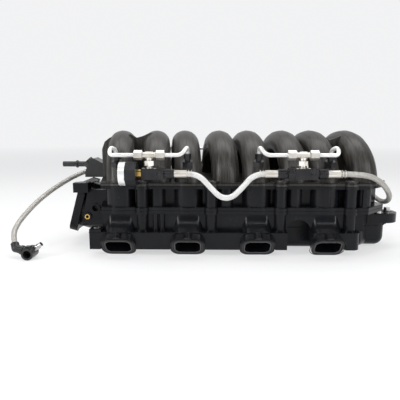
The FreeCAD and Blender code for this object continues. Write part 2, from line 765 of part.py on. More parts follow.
NECK_TURN = Rotation(Y_AXIS, -90 + dim("neck_tilt"))
NECK_FRAME = Placement(Vector(dim("neck_face_x"), 0, dim("neck_z")), NECK_TURN)


def on_neck(x, y, z):
    """A point in the throttle face's own frame: Z leaves the engine, Y runs across it."""
    return NECK_FRAME.multVec(Vector(x, y, z))


def throttle_bolt_spots(depth):
    half_x, half_z = dim("throttle_bolt_x") / 2, dim("throttle_bolt_z") / 2
    return [on_neck(up * half_z, side * half_x, -depth) for up in (-1, 1) for side in (-1, 1)]


def shells_envelope():
    """What the three shells fill at their left end, to trim the neck against them."""
    stack = ((0, 0, "deck_bottom", "shelf_top"), (0, 0, "roof_bottom", "roof_top"),
             (0, dim("pan_inset"), "pan_bottom", "low_weld"),
             (6, dim("middle_inset"), "shelf_top", "roof_bottom"))
    return [plate(shell_outline(x, y), dim(low), "dim.%s - dim.%s" % (high, low))
            for x, y, low, high in stack]


def throttle_bore():
    """The air way from the throttle face into the plenum."""
    return cylinder("dim.throttle_radius", "dim.bore_length", on_neck(0, 0, 1 - dim("bore_length")),
                    NECK_TURN.multVec(Z_AXIS))


def side_boss(x, z, radius, length):
    """A round boss on the near cheek of the neck."""
    return cylinder(radius, length, Vector(x, -dim("cheek_y") - 3, z), Y_AXIS)


def throttle_neck():
    """A square tilted flange on a round neck that meets the shells' left end."""
    out = NECK_TURN.multVec(Z_AXIS)
    thick, cheek = dim("flange_thick"), dim("cheek_y")
    high, side, corner = dim("flange_high"), dim("flange_side"), dim("flange_corner")
    slab = ring_block(high, side, corner, thick, NECK_FRAME)
    neck = [slab, cylinder("dim.throttle_radius + 5", "dim.bore_length - 4",
                           on_neck(0, 0, 3 - dim("bore_length")), out)]
    cheek_outline = [(-249, 34), (-236, 100), (-200, 100), (-200, 40)]
    neck += [side_plate(cheek_outline, -cheek, "8"), side_plate(cheek_outline, cheek - 8, "8"),
             box("26", "22", "17", Vector(-258, -cheek - 12, 96)),
             side_boss(-246.5, 90, "5.5", "22"), side_boss(-223, 67, "8.5", "12"),
             side_boss(-238, 51.5, "7.5", "14")]
    neck += [side_plate([(-247, 33 + lift), (-246, 37 + lift), (-200, 57 + lift), (-200, 53 + lift)],
                        -cheek - 2, "4") for lift in (4, 26)]
    neck += [cylinder("8", "14", p, out) for p in throttle_bolt_spots(14)]
    before_face = NECK_FRAME.multiply(Placement(Vector(0, 0, 15), Rotation()))
    hollow = [throttle_bore(), side_hole(-223, 67, "5.8"), side_hole(-238, 51.5, "dim.insert_radius"),
              ring_block(high, side, corner, 15, before_face)]
    hollow += [cylinder("dim.insert_radius", "dim.insert_length + 1", p, out)
               for p in throttle_bolt_spots(dim("insert_length"))]
    seal = ["dim.throttle_seal_radius + dim.throttle_seal_width / 2",
            "dim.throttle_seal_radius - dim.throttle_seal_width / 2"]
    groove_floor = [(on_neck(0, 0, -2.5), out, NEAR)]
    hollow += tubes(*seal, "4", groove_floor)
    whole = cut(fuse(neck), hollow)
    for block in shells_envelope():
        whole = cut(whole, [block])
    node("throttle_neck", whole)
    node("throttle_seal", tubes(*seal, "3.2", groove_floor)[0])
    node("throttle_inserts", tubes("dim.insert_radius", "dim.insert_hole", "dim.insert_length",
                                   [(p, out, NEAR) for p in throttle_bolt_spots(dim("insert_length"))]))
    spot = Vector(-238, -cheek - 3, 51.5)
    node("bracket_insert", tubes("dim.insert_radius", "dim.insert_hole", "dim.insert_length",
                                 [(spot, Y_AXIS, NEAR)])[0])


def side_hole(x, z, radius):
    """A blind hole in a side boss, as deep as an insert."""
    return cylinder(radius, "dim.insert_length", Vector(x, -dim("cheek_y") - 3, z), Y_AXIS)


def vacuum_outlet():
    """A black cap on the left end, an elbow head turned 45 degrees and a beaded pipe."""
    x, z, y = dim("vac_x"), dim("vac_z"), -2.0
    low, high = z - dim("vac_high") / 2, z + dim("vac_high") / 2
    half = dim("vac_width") / 2
    outline = [(x - half, low), (x - half, low + 10), (x - half + 10, high), (x - half + 16, high + 3),
               (x + half, high - 9), (x + half, low)]
    body = side_plate(outline, y - dim("vac_depth") / 2, "dim.vac_depth")
    pipe_z = dim("vac_pipe_z")
    seat = Vector(x - half + 12, y, pipe_z - 6)
    tilt = Vector(-1, 0, 1)
    tilt.normalize()
    head_base = seat - tilt * 2
    node("vacuum_cap", cut(body, [cylinder("dim.vac_head_radius", "60", head_base, tilt)]))
    pipe_end = seat.x - 2
    elbow = fuse([cylinder("dim.vac_head_radius", "17", head_base + tilt * 1.5, tilt),
                  cylinder("dim.vac_pipe_radius", "%f" % (pipe_end - dim("vac_tip_x")),
                           Vector(pipe_end, y, pipe_z), -X_AXIS),
                  cone("dim.vac_pipe_radius", "dim.vac_bead_radius", "2",
                       Vector(dim("vac_bead_x") - 2, y, pipe_z), X_AXIS),
                  cylinder("dim.vac_bead_radius", "2.4",
                           Vector(dim("vac_bead_x"), y, pipe_z), X_AXIS)])
    bore = cylinder("dim.vac_pipe_bore", "%f" % (pipe_end - dim("vac_tip_x") + 1),
                    Vector(pipe_end, y, pipe_z), -X_AXIS)
    node("vacuum_elbow", cut(elbow, [bore]))
    node("vacuum_seal", cylinder("dim.vac_head_radius", "1.5", head_base, tilt))


# ---- rail kit ------------------------------------------------------------------------------

def hex_nut(across_flats, length, base, axis, bank, inner_radius, inner_depth, tube_radius):
    """A flare nut: a wide bore for the fitting and a narrow one for the line."""
    return cut(prism(6, across_flats, length, base, axis, bank),
               [cylinder(inner_radius, inner_depth, base, axis, bank),
                cylinder(tube_radius, length, base, axis, bank)])


def kit_tees():
    """Each bank has two tees, each over its rail block."""
    nuts = []
    number = 0
    for bank in BANKS.values():
        for block in ("block_a_x", "block_b_x"):
            number += 1
            centre = Vector(dim(block), -dim("kit_y"), dim("line_z"))
            half = dim("tee_length") / 2 + dim("flare_length")
            body = fuse([cylinder("dim.tee_radius", "dim.tee_length + 2 * dim.flare_length",
                                  centre - X_AXIS * half, X_AXIS, bank),
                         cylinder("dim.tee_radius", "dim.tee_leg", centre - Z_AXIS * dim("tee_leg"),
                                  bank=bank),
                         prism(8, "11", "11", centre - X_AXIS * 5.5, X_AXIS, bank, 22.5)])
            bore = cylinder("dim.tee_bore", "dim.tee_length + 2 * dim.flare_length",
                            centre - X_AXIS * half, X_AXIS, bank)
            node("tee_%d" % number, cut(body, [bore]))
            for side in (-1, 1):
                base = centre + X_AXIS * (side * dim("tee_length") / 2)
                nuts.append(hex_nut("dim.nut_flats", "dim.nut_length", base, X_AXIS * side, bank,
                                    "dim.tee_radius", "dim.flare_length", "dim.line_radius"))
            kit_block(number, centre, bank)
    node("tee_nuts", nuts)


def kit_block(number, tee_centre, bank):
    """A square feed block under the tee, joined to it by a swivel adapter."""
    side = dim("block_side")
    corner = Vector(tee_centre.x - dim("block_length") / 2, tee_centre.y - side / 2,
                    dim("kit_z") - side / 2)
    block = box("dim.block_length", "dim.block_side", "dim.block_side", corner, bank)
    block = fillet(block, 1.2, lambda e: True)
    bore = cylinder("dim.block_bore", "dim.block_length", Vector(corner.x, tee_centre.y, dim("kit_z")),
                    X_AXIS, bank)
    screws = [Vector(tee_centre.x + dx, tee_centre.y - 4, dim("kit_z") + side / 2 - 2.5)
              for dx in (-9, 9)]
    holes = [cylinder("dim.plug_radius", "dim.plug_length", p, bank=bank) for p in screws]
    node("rail_block_%d" % number, cut(block, [bore] + holes))
    block_plugs.extend(cylinder("dim.plug_radius", "dim.plug_length", p, bank=bank) for p in screws)
    foot = Vector(tee_centre.x, tee_centre.y, dim("kit_z") + side / 2)
    rise = "dim.line_z - dim.tee_leg - dim.kit_z - dim.block_side / 2"
    adapter = fuse([cylinder("dim.adapter_radius", rise, foot, bank=bank),
                    prism(6, "dim.nut_flats", "7", foot + Z_AXIS * 4.2, bank=bank, spin=30),
                    cylinder("dim.adapter_foot", "2.5", foot, bank=bank)])
    node("tee_adapter_%d" % number, adapter)


def nozzles():
    """A nozzle in the bung of each runner, with the nut that holds its line."""
    axis = nozzle_axis()
    nuts = []
    number = 0
    for bank in BANKS.values():
        for x in PORT_X:
            number += 1
            foot = nozzle_foot(x)
            shoulder = foot + axis * dim("nozzle_hex_high")
            body = fuse([cylinder("dim.nozzle_tip_radius", "dim.nozzle_tip",
                                  foot - axis * dim("nozzle_tip"), axis, bank),
                         prism(6, "dim.nozzle_hex", "dim.nozzle_hex_high", foot, axis, bank, 30),
                         cylinder("dim.tee_radius", "dim.nozzle_neck_high + 4", shoulder, axis,
                                  bank)])
            node("nozzle_%d" % number, body)
            nuts.append(hex_nut("dim.nozzle_nut_flats", "dim.nozzle_nut_length",
                                shoulder + axis * dim("nozzle_neck_high"), axis, bank,
                                "dim.tee_radius", "4", "dim.line_radius"))
    node("nozzle_nuts", nuts)


def line_route(tee_x, port_x, passes):
    """From the tee's end, along the rail, then up and over into the nozzle's nut.

    A line that passes its nozzle turns back over it; the others turn just before it.
    """
    side = 1 if port_x > tee_x else -1
    axis = nozzle_axis()
    high = dim("nozzle_hex_high") + dim("nozzle_neck_high") + 4
    inlet = nozzle_foot(port_x) + axis * high
    start_x = tee_x + side * (dim("tee_length") / 2 + dim("flare_length"))
    y, z = -dim("kit_y"), dim("line_z")
    knee_x, crest_x = (8, 6) if passes else (-9, 0)
    return [(start_x, y, z), (port_x + side * knee_x, y, z),
            (port_x + side * crest_x, y + 4, z + 12.5), tuple(inlet + axis * 10), tuple(inlet)]


def hard_lines():
    number = 0
    far_lines = []
    for name, bank in BANKS.items():
        for block, ports in (("block_a_x", PORT_X[:2]), ("block_b_x", PORT_X[2:])):
            for port_x in ports:
                number += 1
                line = tube("hard_line_%d" % number, line_route(dim(block), port_x, port_x in OUTER_X),
                            dim("line_radius"), bank)
                if name == "near":
                    node("hard_line_%d" % number, line)
                else:
                    far_lines.append(line)
    node("hard_lines_far", far_lines)


def hose_end(start, direction, bank):
    """A black hose end: hex, waist and socket, all on one axis."""
    socket = start + direction * (dim("end_hex_length") + 3)
    return fuse([prism(6, "dim.end_hex", "dim.end_hex_length", start, direction, bank, 30),
                 cylinder("dim.end_neck_radius", "5", start + direction * dim("end_hex_length") * 0.9,
                          direction, bank),
                 cylinder("dim.end_radius", "dim.end_length - dim.end_hex_length - 3", socket,
                          direction, bank)])


def hose_fittings():
    """Hose ends and collars: block A has one on its right, block B has one on each side."""
    half = dim("block_length") / 2
    ends = {"near": [], "far": []}
    collars = []
    for name, bank in BANKS.items():
        spots = [(dim("block_a_x") + half, X_AXIS), (dim("block_b_x") - half, -X_AXIS),
                 (dim("block_b_x") + half, X_AXIS)]
        if name == "far":
            spots.append((dim("block_a_x") - half, -X_AXIS))
        for x, direction in spots:
            start = Vector(x, -dim("kit_y"), dim("kit_z"))
            ends[name].append(hose_end(start, direction, bank))
            collars.append(cylinder("dim.collar_radius", "dim.collar_length",
                                    start + direction * dim("end_length"), direction, bank))
    node("hose_ends_near", ends["near"])
    node("hose_ends_far", ends["far"])
    node("hose_collars", collars)


def gauge():
    """A pressure gauge on the left end of the near rail, with its face to the left."""
    y, z = -dim("kit_y"), dim("kit_z")
    stem_x = dim("block_a_x") - dim("block_length") / 2
    case_x = stem_x - dim("stem_length")
    bezel_x = case_x - dim("gauge_case_length")
    face_x = bezel_x - dim("gauge_bezel_length")
    node("gauge_stem", prism(6, "dim.stem_flats", "dim.stem_length", Vector(case_x, y, z), X_AXIS))
    case = prism(8, "dim.gauge_flats", "dim.gauge_case_length", Vector(bezel_x, y, z), X_AXIS,
                 spin=22.5)
    pivot_hole = cylinder("dim.pointer_radius + dim.pointer_gap", "3", Vector(bezel_x, y, z), X_AXIS)
    node("gauge_case", cut(case, [pivot_hole]))
    bezel = cut(cylinder("dim.gauge_radius", "dim.gauge_bezel_length", Vector(face_x, y, z), X_AXIS),
                [cylinder("dim.gauge_window", "dim.gauge_bezel_length", Vector(face_x, y, z), X_AXIS)])
    node("gauge_bezel", bezel)
    dial_x = bezel_x - dim("dial_thick")
    node("gauge_dial", cut(cylinder("dim.gauge_window", "dim.dial_thick", Vector(dial_x, y, z), X_AXIS),
                           [cylinder("dim.pointer_radius + dim.pointer_gap", "3",
                                     Vector(dial_x - 1, y, z), X_AXIS)]))
    node("gauge_lens", cylinder("dim.gauge_window", "dim.lens_thick", Vector(face_x + 1, y, z), X_AXIS))
    hub_x = dial_x - 1.4
    zero = Placement(Vector(hub_x, y, z), Rotation(X_AXIS, -135))
    needle = box("dim.pointer_thick", "dim.pointer_width", "dim.pointer_length",
                 Vector(0, -dim("pointer_width") / 2, 0), zero)
    pointer = fuse([cylinder("dim.pointer_radius", "4", Vector(hub_x, y, z), X_AXIS),
                    cylinder("2", "0.9", Vector(hub_x, y, z), X_AXIS), needle])
    node("gauge_pointer", pointer)


# ---- hoses and the quick connector ---------------------------------------------------------
# The routes are in the finished part's frame.

KIT_NEAR_Y = dim("origin_y") - dim("kit_y")
KIT_FAR_Y = dim("origin_y") + dim("kit_y")
CENTRE_HOSE = [(-67.5, KIT_NEAR_Y, 136.0), (-50.0, KIT_NEAR_Y, 136.0), (-32.0, KIT_NEAR_Y - 2, 118.0),
               (-14.5, KIT_NEAR_Y - 3, 99.0), (4.0, KIT_NEAR_Y - 3, 98.5),
               (21.0, KIT_NEAR_Y - 2, 116.0), (38.5, KIT_NEAR_Y, 136.0), (56.0, KIT_NEAR_Y, 136.0)]
CROSSOVER_HOSE = [(170.0, KIT_NEAR_Y, 136.0), (198.0, KIT_NEAR_Y, 136.0), (226.0, -109.0, 130.5),
                  (248.0, -93.0, 118.5), (266.0, -73.0, 104.0), (280.5, -50.0, 90.0),
                  (288.0, -24.0, 77.0), (289.5, 5.0, 72.0), (286.0, 33.0, 77.0),
                  (279.5, 60.0, 91.0), (269.5, 84.0, 109.0), (254.0, 108.0, 125.5),
                  (233.5, KIT_FAR_Y, 136.0), (204.5, KIT_FAR_Y, 136.0)]
FEED_HOSE = [(-147.0, KIT_FAR_Y, 136.0), (-178.0, KIT_FAR_Y, 136.0), (-212.0, 115.0, 134.0),
             (-246.0, 91.0, 130.0), (-273.0, 65.0, 124.0), (-295.0, 38.0, 114.5),
             (-313.5, 12.0, 102.0), (-330.0, -13.0, 88.0), (-342.5, -38.0, 73.5),
             (-351.5, -62.0, 58.5), (-356.0, -85.0, 45.0), (-353.8, -105.8, 33.6),
             (-346.6, -116.6, 21.3)]


def hoses():
    node_hose("centre_hose_near", CENTRE_HOSE)
    turned = [(dim("bank_offset") + 2 * dim("origin_x") - x, 2 * dim("origin_y") - y, z)
              for x, y, z in CENTRE_HOSE]
    node_hose("centre_hose_far", turned)
    node_hose("crossover_hose", CROSSOVER_HOSE)
    node_hose("feed_hose", FEED_HOSE)


def node_hose(label, route):
    item = tube(label, route, dim("hose_radius"))
    item.Label = label
    nodes.append(item)


def connector():
    """A right-angled quick connector that lies on the floor, with its mouth to the front."""
    x = dim("connector_x") - dim("origin_x")
    y = dim("connector_y") - dim("origin_y")
    radius = dim("connector_radius")
    centre = Vector(x, y, radius)
    mouth = centre - Y_AXIS * (dim("connector_length") - radius)
    socket_axis = Vector(*FEED_HOSE[-2]) - Vector(*FEED_HOSE[-1])
    socket_axis.normalize()
    hose_face = TO_ORIGIN.inverse().multVec(Vector(*FEED_HOSE[-1]))
    elbow = hose_face - socket_axis * dim("connector_socket")
    arm = elbow - centre
    arm_length = arm.Length
    arm.normalize()
    stub_axis = Vector(0.8, 0, 0.6)
    stub_foot = centre + stub_axis * dim("stub_start")
    body = fuse([cylinder("dim.connector_radius", "dim.connector_length", mouth, Y_AXIS),
                 cylinder("dim.connector_arm", "%f" % arm_length, centre, arm),
                 cylinder("dim.connector_arm + 1.1", "4", centre + arm * 12, arm),
                 ball("dim.connector_arm", elbow),
                 cylinder("dim.connector_arm", "dim.connector_socket", elbow, socket_axis),
                 box("dim.button_side + 4", "dim.button_side + 4", "4",
                     Vector(x - dim("button_side") / 2 - 2, mouth.y + 2, 2 * radius - 3))])
    side = dim("button_side")
    well = Vector(x - side / 2, mouth.y + 4, 2 * radius - 2.5)
    gap = dim("button_gap")
    hollow = [cylinder("dim.connector_bore", "dim.connector_length - 9", mouth, Y_AXIS),
              box("dim.button_side + 2 * dim.button_gap", "dim.button_side + 2 * dim.button_gap",
                  "6", well - Vector(gap, gap, 0)),
              cylinder("dim.stub_radius", "dim.stub_length + 6", stub_foot, stub_axis)]
    node("connector_body", cut(body, hollow))
    button = box("dim.button_side", "dim.button_side", "dim.button_high",
                 well + Z_AXIS * 2.3)
    node("connector_button", fillet(button, 0.8, lambda e: e.CenterOfMass.z > 2 * radius + 2))
    stub = fuse([cylinder("dim.stub_radius", "dim.stub_length", stub_foot, stub_axis),
                 cylinder("dim.stub_radius + 0.8", "3", stub_foot + stub_axis * 5, stub_axis)])
    node("connector_stub", stub)


# ---- the whole part ------------------------------------------------------------------------

block_plugs = []
upper_shell()
middle_shell()
lower_shell()
port_seals()
bolt_sleeves()
ear_bolts()
throttle_neck()
vacuum_outlet()
kit_tees()
node("block_plugs", block_plugs)
nozzles()
hard_lines()
hose_fittings()
gauge()
hoses()
connector()
doc.recompute()

for item in doc.Objects:
    if "Invalid" in item.State or "Error" in item.State:
        raise RuntimeError("failed: %s %s %s" % (item.Name, item.Label, item.State))
os.makedirs("parts", exist_ok=True)
for item in nodes:
    if item.Shape.isNull() or not item.Shape.isValid():
        raise RuntimeError("bad shape: " + item.Label)
for item in nodes:
    item.Shape.exportStep("parts/%s.step" % item.Label)
    limits = item.Shape.BoundBox
    print("%-18s %7.1f %7.1f  %7.1f %7.1f  %6.1f %6.1f  solids %d"
          % (item.Label, limits.XMin, limits.XMax, limits.YMin, limits.YMax, limits.ZMin, limits.ZMax,
             len(item.Shape.Solids)))
print(len(nodes), "nodes")
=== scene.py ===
import json
import math

import bmesh
import bpy
from mathutils import Matrix, Vector


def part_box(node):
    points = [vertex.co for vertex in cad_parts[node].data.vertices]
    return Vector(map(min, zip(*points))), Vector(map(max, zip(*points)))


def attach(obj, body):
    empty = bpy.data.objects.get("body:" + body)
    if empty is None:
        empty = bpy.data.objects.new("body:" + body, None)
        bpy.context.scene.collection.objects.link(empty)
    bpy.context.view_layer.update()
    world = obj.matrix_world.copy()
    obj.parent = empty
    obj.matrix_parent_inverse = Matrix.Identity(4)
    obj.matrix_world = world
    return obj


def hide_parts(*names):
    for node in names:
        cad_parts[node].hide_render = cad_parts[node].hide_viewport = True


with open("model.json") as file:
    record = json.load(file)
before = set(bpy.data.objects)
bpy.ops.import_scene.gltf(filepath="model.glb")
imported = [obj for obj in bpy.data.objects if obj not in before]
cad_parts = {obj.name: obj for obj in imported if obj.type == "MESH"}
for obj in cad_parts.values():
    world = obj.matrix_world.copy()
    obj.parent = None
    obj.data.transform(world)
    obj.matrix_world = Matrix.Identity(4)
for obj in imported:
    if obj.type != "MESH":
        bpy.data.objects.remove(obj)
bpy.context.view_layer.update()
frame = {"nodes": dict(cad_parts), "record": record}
nodes = frame["nodes"]
scene = bpy.context.scene

# ---- camera ----

camera = bpy.data.objects.new("camera", bpy.data.cameras.new("camera"))
camera.data.lens = 37.35
camera.data.sensor_width = 36.0
camera.data.clip_start = 0.02
camera.location = (-0.0335, -0.7636, 0.2025)
camera.rotation_euler = (math.radians(80.5), 0.0, math.radians(1.1))
scene.collection.objects.link(camera)
scene.camera = camera

# ---- hoses ----

KIT_NEAR_Y, KIT_FAR_Y = -0.1206, 0.1294
CENTRE_HOSE = [(-0.0675, KIT_NEAR_Y, 0.136), (-0.050, KIT_NEAR_Y, 0.136),
               (-0.032, KIT_NEAR_Y - 0.002, 0.118), (-0.0145, KIT_NEAR_Y - 0.003, 0.099),
               (0.004, KIT_NEAR_Y - 0.003, 0.0985), (0.021, KIT_NEAR_Y - 0.002, 0.116),
               (0.0385, KIT_NEAR_Y, 0.136), (0.056, KIT_NEAR_Y, 0.136)]
CROSSOVER_HOSE = [(0.170, KIT_NEAR_Y, 0.136), (0.198, KIT_NEAR_Y, 0.136), (0.226, -0.109, 0.1305),
                  (0.248, -0.093, 0.1185), (0.266, -0.073, 0.104), (0.2805, -0.050, 0.090),
                  (0.288, -0.024, 0.077), (0.2895, 0.005, 0.072), (0.286, 0.033, 0.077),
                  (0.2795, 0.060, 0.091), (0.2695, 0.084, 0.109), (0.254, 0.108, 0.1255),
                  (0.2335, KIT_FAR_Y, 0.136), (0.2045, KIT_FAR_Y, 0.136)]
FEED_HOSE = [(-0.147, KIT_FAR_Y, 0.136), (-0.178, KIT_FAR_Y, 0.136), (-0.212, 0.115, 0.134),
             (-0.246, 0.091, 0.130), (-0.273, 0.065, 0.124), (-0.295, 0.038, 0.1145),
             (-0.3135, 0.012, 0.102), (-0.330, -0.013, 0.088), (-0.3425, -0.038, 0.0735),
             (-0.3515, -0.062, 0.0585), (-0.356, -0.085, 0.045), (-0.3538, -0.1058, 0.0336),
             (-0.3466, -0.1166, 0.0213)]
HALF_TURN_X, HALF_TURN_Y = 0.023, 0.0088


def adopt(piece, finish=None):
    """Puts a new piece on the manifold, so that it rides with it."""
    if piece.name not in scene.collection.objects:
        scene.collection.objects.link(piece)
    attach(piece, "manifold")
    if finish:
        piece.data.materials.clear()
        piece.data.materials.append(materials[finish])
    return piece


def mesh_piece(name, build, finish):
    """A mesh piece whose shape is made by build(bm)."""
    bm = bmesh.new()
    build(bm)
    mesh = bpy.data.meshes.new(name)
    bm.to_mesh(mesh)
    bm.free()
    return adopt(bpy.data.objects.new(name, mesh), finish)


def meshed(name, curve, finish):
    """A mesh piece with the round section of a curve."""
    drawn = bpy.data.objects.new(name, curve)
    scene.collection.objects.link(drawn)
    shown = drawn.evaluated_get(bpy.context.evaluated_depsgraph_get())
    mesh = bpy.data.meshes.new_from_object(shown)
    bpy.data.objects.remove(drawn)
    mesh.shade_smooth()
    return adopt(bpy.data.objects.new(name, mesh), finish)


def wires(name, runs, thick, finish, closed=False, sides=1):
    """Fine round wires or beads along runs of points, all in one piece."""
    curve = bpy.data.curves.new(name, "CURVE")
    curve.dimensions = "3D"
    curve.bevel_depth = thick
    curve.bevel_resolution = sides
    for run in runs:
        spline = curve.splines.new("POLY")
        spline.points.add(len(run) - 1)
        for point, place in zip(spline.points, run):
            point.co = (*place, 1.0)
        spline.use_cyclic_u = closed
    return meshed(name, curve, finish)


def centre_line(route, step=0.0022):
    """Points along the smooth run that a route of corner points stands for."""
    corners = [Vector(p) for p in route]
    middles = [(a + b) / 2 for a, b in zip(corners, corners[1:])]
    joints = [corners[0]] + middles[1:-1] + [corners[-1]]
    line = []
    for a, corner, b in zip(joints, corners[1:-1], joints[1:]):
        count = max(2, int(((corner - a).length + (b - corner).length) / step))
        for i in range(count):
            t = i / count
            line.append(a * (1 - t) ** 2 + corner * 2 * t * (1 - t) + b * t * t)
    return line + [corners[-1]]


HOSE_RADIUS = 0.0041


def braid(name, route, finish, radius=HOSE_RADIUS, strands=9, pitch=0.030):
    """Steel wires wound both ways round a hose."""
    line = centre_line(route)
    ahead = (line[1] - line[0]).normalized()
    across = ahead.orthogonal().normalized()
    runs = [[] for _ in range(2 * strands)]
    gone = 0.0
    for i, place in enumerate(line):
        after = line[min(i + 1, len(line) - 1)] - line[max(i - 1, 0)]
        turn = ahead.rotation_difference(after.normalized())
        ahead = after.normalized()
        across = (turn @ across).normalized()
        side = ahead.cross(across)
        if i:
            gone += (place - line[i - 1]).length
        for k in range(2 * strands):
            way = 1 if k < strands else -1
            angle = 2 * math.pi * (k / strands + way * gone / pitch)
            lift = radius + 0.00012 * math.sin(2 * math.pi * gone * strands / pitch + k * math.pi)
            runs[k].append(place + (across * math.cos(angle) + side * math.sin(angle)) * lift)
    return wires(name + "_braid", runs, 0.00042, finish)


def hose(name, route, finish):
    """A braided hose along its route, shown in place of the CAD node of that name."""
    curve = bpy.data.curves.new(name + "_run", "CURVE")
    curve.dimensions = "3D"
    curve.bevel_depth = 1.0
    curve.bevel_resolution = 6
    curve.resolution_u = 10
    spline = curve.splines.new("NURBS")
    spline.points.add(len(route) - 1)
    for point, place in zip(spline.points, route):
        point.co = (*place, 1.0)
        point.radius = HOSE_RADIUS
    spline.order_u = 3
    spline.use_endpoint_u = True
    piece = adopt(bpy.data.objects.new(name + "_run", curve), finish)
    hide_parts(name)
    braid(name, route, finish)
    return piece


# ---- materials ----


def surface(name, base, second, rough, metal=0.0, grain=(60, 60, 60), mottle=0.5, bump=0.1,
            bump_size=0.0004, fine=900.0, coat=0.0, rough_span=0.08, specular=0.5):
    """A material with two slightly different colours, uneven gloss and a fine relief."""
    material = bpy.data.materials.new(name)
    material.use_nodes = True
    tree = material.node_tree
    add, link = tree.nodes.new, tree.links.new
    shader = tree.nodes["Principled BSDF"]
    place = add("ShaderNodeTexCoord")
    stretch = add("ShaderNodeMapping")
    stretch.inputs["Scale"].default_value = grain
    link(place.outputs["Object"], stretch.inputs["Vector"])
    large = add("ShaderNodeTexNoise")
    large.inputs["Scale"].default_value = 1.0
    large.inputs["Detail"].default_value = 5.0
    link(stretch.outputs["Vector"], large.inputs["Vector"])
    tone = add("ShaderNodeValToRGB")
    tone.color_ramp.elements[0].position = 0.5 - mottle / 2
    tone.color_ramp.elements[1].position = 0.5 + mottle / 2
    tone.color_ramp.elements[0].color = (*base, 1.0)
    tone.color_ramp.elements[1].color = (*second, 1.0)
    link(large.outputs["Fac"], tone.inputs["Fac"])
    link(tone.outputs["Color"], shader.inputs["Base Color"])
    gloss = add("ShaderNodeMapRange")
    gloss.inputs["To Min"].default_value = rough - rough_span
    gloss.inputs["To Max"].default_value = rough + rough_span
    link(large.outputs["Fac"], gloss.inputs["Value"])
    link(gloss.outputs["Result"], shader.inputs["Roughness"])
    small = add("ShaderNodeTexNoise")
    small.inputs["Scale"].default_value = fine
    small.inputs["Detail"].default_value = 3.0
    link(place.outputs["Object"], small.inputs["Vector"])
    relief = add("ShaderNodeBump")
    relief.inputs["Strength"].default_value = bump
    relief.inputs["Distance"].default_value = bump_size
    link(small.outputs["Fac"], relief.inputs["Height"])
    link(relief.outputs["Normal"], shader.inputs["Normal"])
    shader.inputs["Metallic"].default_value = metal
    shader.inputs["Coat Weight"].default_value = coat
    shader.inputs["Specular IOR Level"].default_value = specular
    return material


materials = {
    "shell_plastic": surface("shell_plastic", (0.0035, 0.0040, 0.0052), (0.0095, 0.0100, 0.0125), 0.25,
                             grain=(40, 40, 18), bump=0.12, specular=0.20),
    "runner_plastic": surface("runner_plastic", (0.010, 0.0092, 0.0080), (0.046, 0.041, 0.035), 0.40,
                              grain=(650, 70, 10), mottle=0.30, bump=0.16, rough_span=0.12, specular=0.45),
    "cap_plastic": surface("cap_plastic", (0.011, 0.011, 0.012), (0.022, 0.022, 0.024), 0.30),
    "seal_rubber": surface("seal_rubber", (0.008, 0.008, 0.008), (0.016, 0.016, 0.016), 0.6),
    "plated_steel": surface("plated_steel", (0.50, 0.50, 0.52), (0.66, 0.65, 0.62), 0.28, 1.0),
    "polished_steel": surface("polished_steel", (0.80, 0.81, 0.83), (0.90, 0.90, 0.90), 0.34, 0.35,
                              rough_span=0.04, bump=0.03),
    "brass": surface("brass", (0.55, 0.36, 0.11), (0.72, 0.50, 0.18), 0.26, 1.0),
    "bright_fitting": surface("bright_fitting", (0.66, 0.62, 0.55), (0.86, 0.83, 0.77), 0.32, 0.8,
                              rough_span=0.08, bump=0.2),
    "bright_line": surface("bright_line", (0.78, 0.78, 0.77), (0.90, 0.90, 0.89), 0.40, 0.55,
                           rough_span=0.06),
    "black_fitting": surface("black_fitting", (0.010, 0.010, 0.012), (0.030, 0.030, 0.033), 0.30,
                             0.4),
    "white_braid": surface("white_braid", (0.66, 0.66, 0.65), (0.90, 0.90, 0.89), 0.40, 0.35,
                           grain=(900, 900, 900)),
    "grey_braid": surface("grey_braid", (0.30, 0.29, 0.27), (0.66, 0.64, 0.60), 0.40, 0.5,
                          grain=(900, 900, 900)),
    "clear_lens": surface("clear_lens", (0.95, 0.97, 0.98), (0.97, 0.98, 0.99), 0.05,
                          rough_span=0.01, bump=0.01),
    "dial_white": surface("dial_white", (0.80, 0.80, 0.77), (0.86, 0.86, 0.84), 0.4),
    "rim_plastic": surface("rim_plastic", (0.045, 0.046, 0.050), (0.070, 0.071, 0.075), 0.30),
    "pointer_black": surface("pointer_black", (0.012, 0.012, 0.012), (0.02, 0.02, 0.02), 0.4),
}
materials["clear_lens"].node_tree.nodes["Principled BSDF"].inputs["Transmission Weight"].default_value = 1.0
for part in frame["record"]["subparts"]:
    finish = materials[part["material_slot"]]
    node = nodes[part["node"]]
    node.data.materials.clear()
    node.data.materials.append(finish)

turned = [(HALF_TURN_X - x, HALF_TURN_Y - y, z) for x, y, z in CENTRE_HOSE]
hose("centre_hose_near", CENTRE_HOSE, "white_braid")
hose("centre_hose_far", turned, "white_braid")
hose("crossover_hose", CROSSOVER_HOSE, "grey_braid")
hose("feed_hose", FEED_HOSE, "grey_braid")

# ---- details ----


def seam(name, node, height, thick):
    """The bead of a weld: it follows the node's outline at that height."""
    bm = bmesh.new()
    bm.from_mesh(nodes[node].data)
    bmesh.ops.bisect_plane(bm, geom=bm.verts[:] + bm.edges[:] + bm.faces[:],
                           plane_co=(0, 0, height), plane_no=(0, 0, 1),
                           clear_inner=True, clear_outer=True)
    mesh = bpy.data.meshes.new(name)
    bm.to_mesh(mesh)
    bm.free()
    piece = bpy.data.objects.new(name, mesh)
    scene.collection.objects.link(piece)
    bpy.ops.object.select_all(action="DESELECT")
    bpy.context.view_layer.objects.active = piece
    piece.select_set(True)
    bpy.ops.object.convert(target="CURVE")
    curve = piece.data
    bpy.data.objects.remove(piece)
    curve.bevel_depth = thick
    curve.bevel_resolution = 1
    return meshed(name, curve, "shell_plastic")


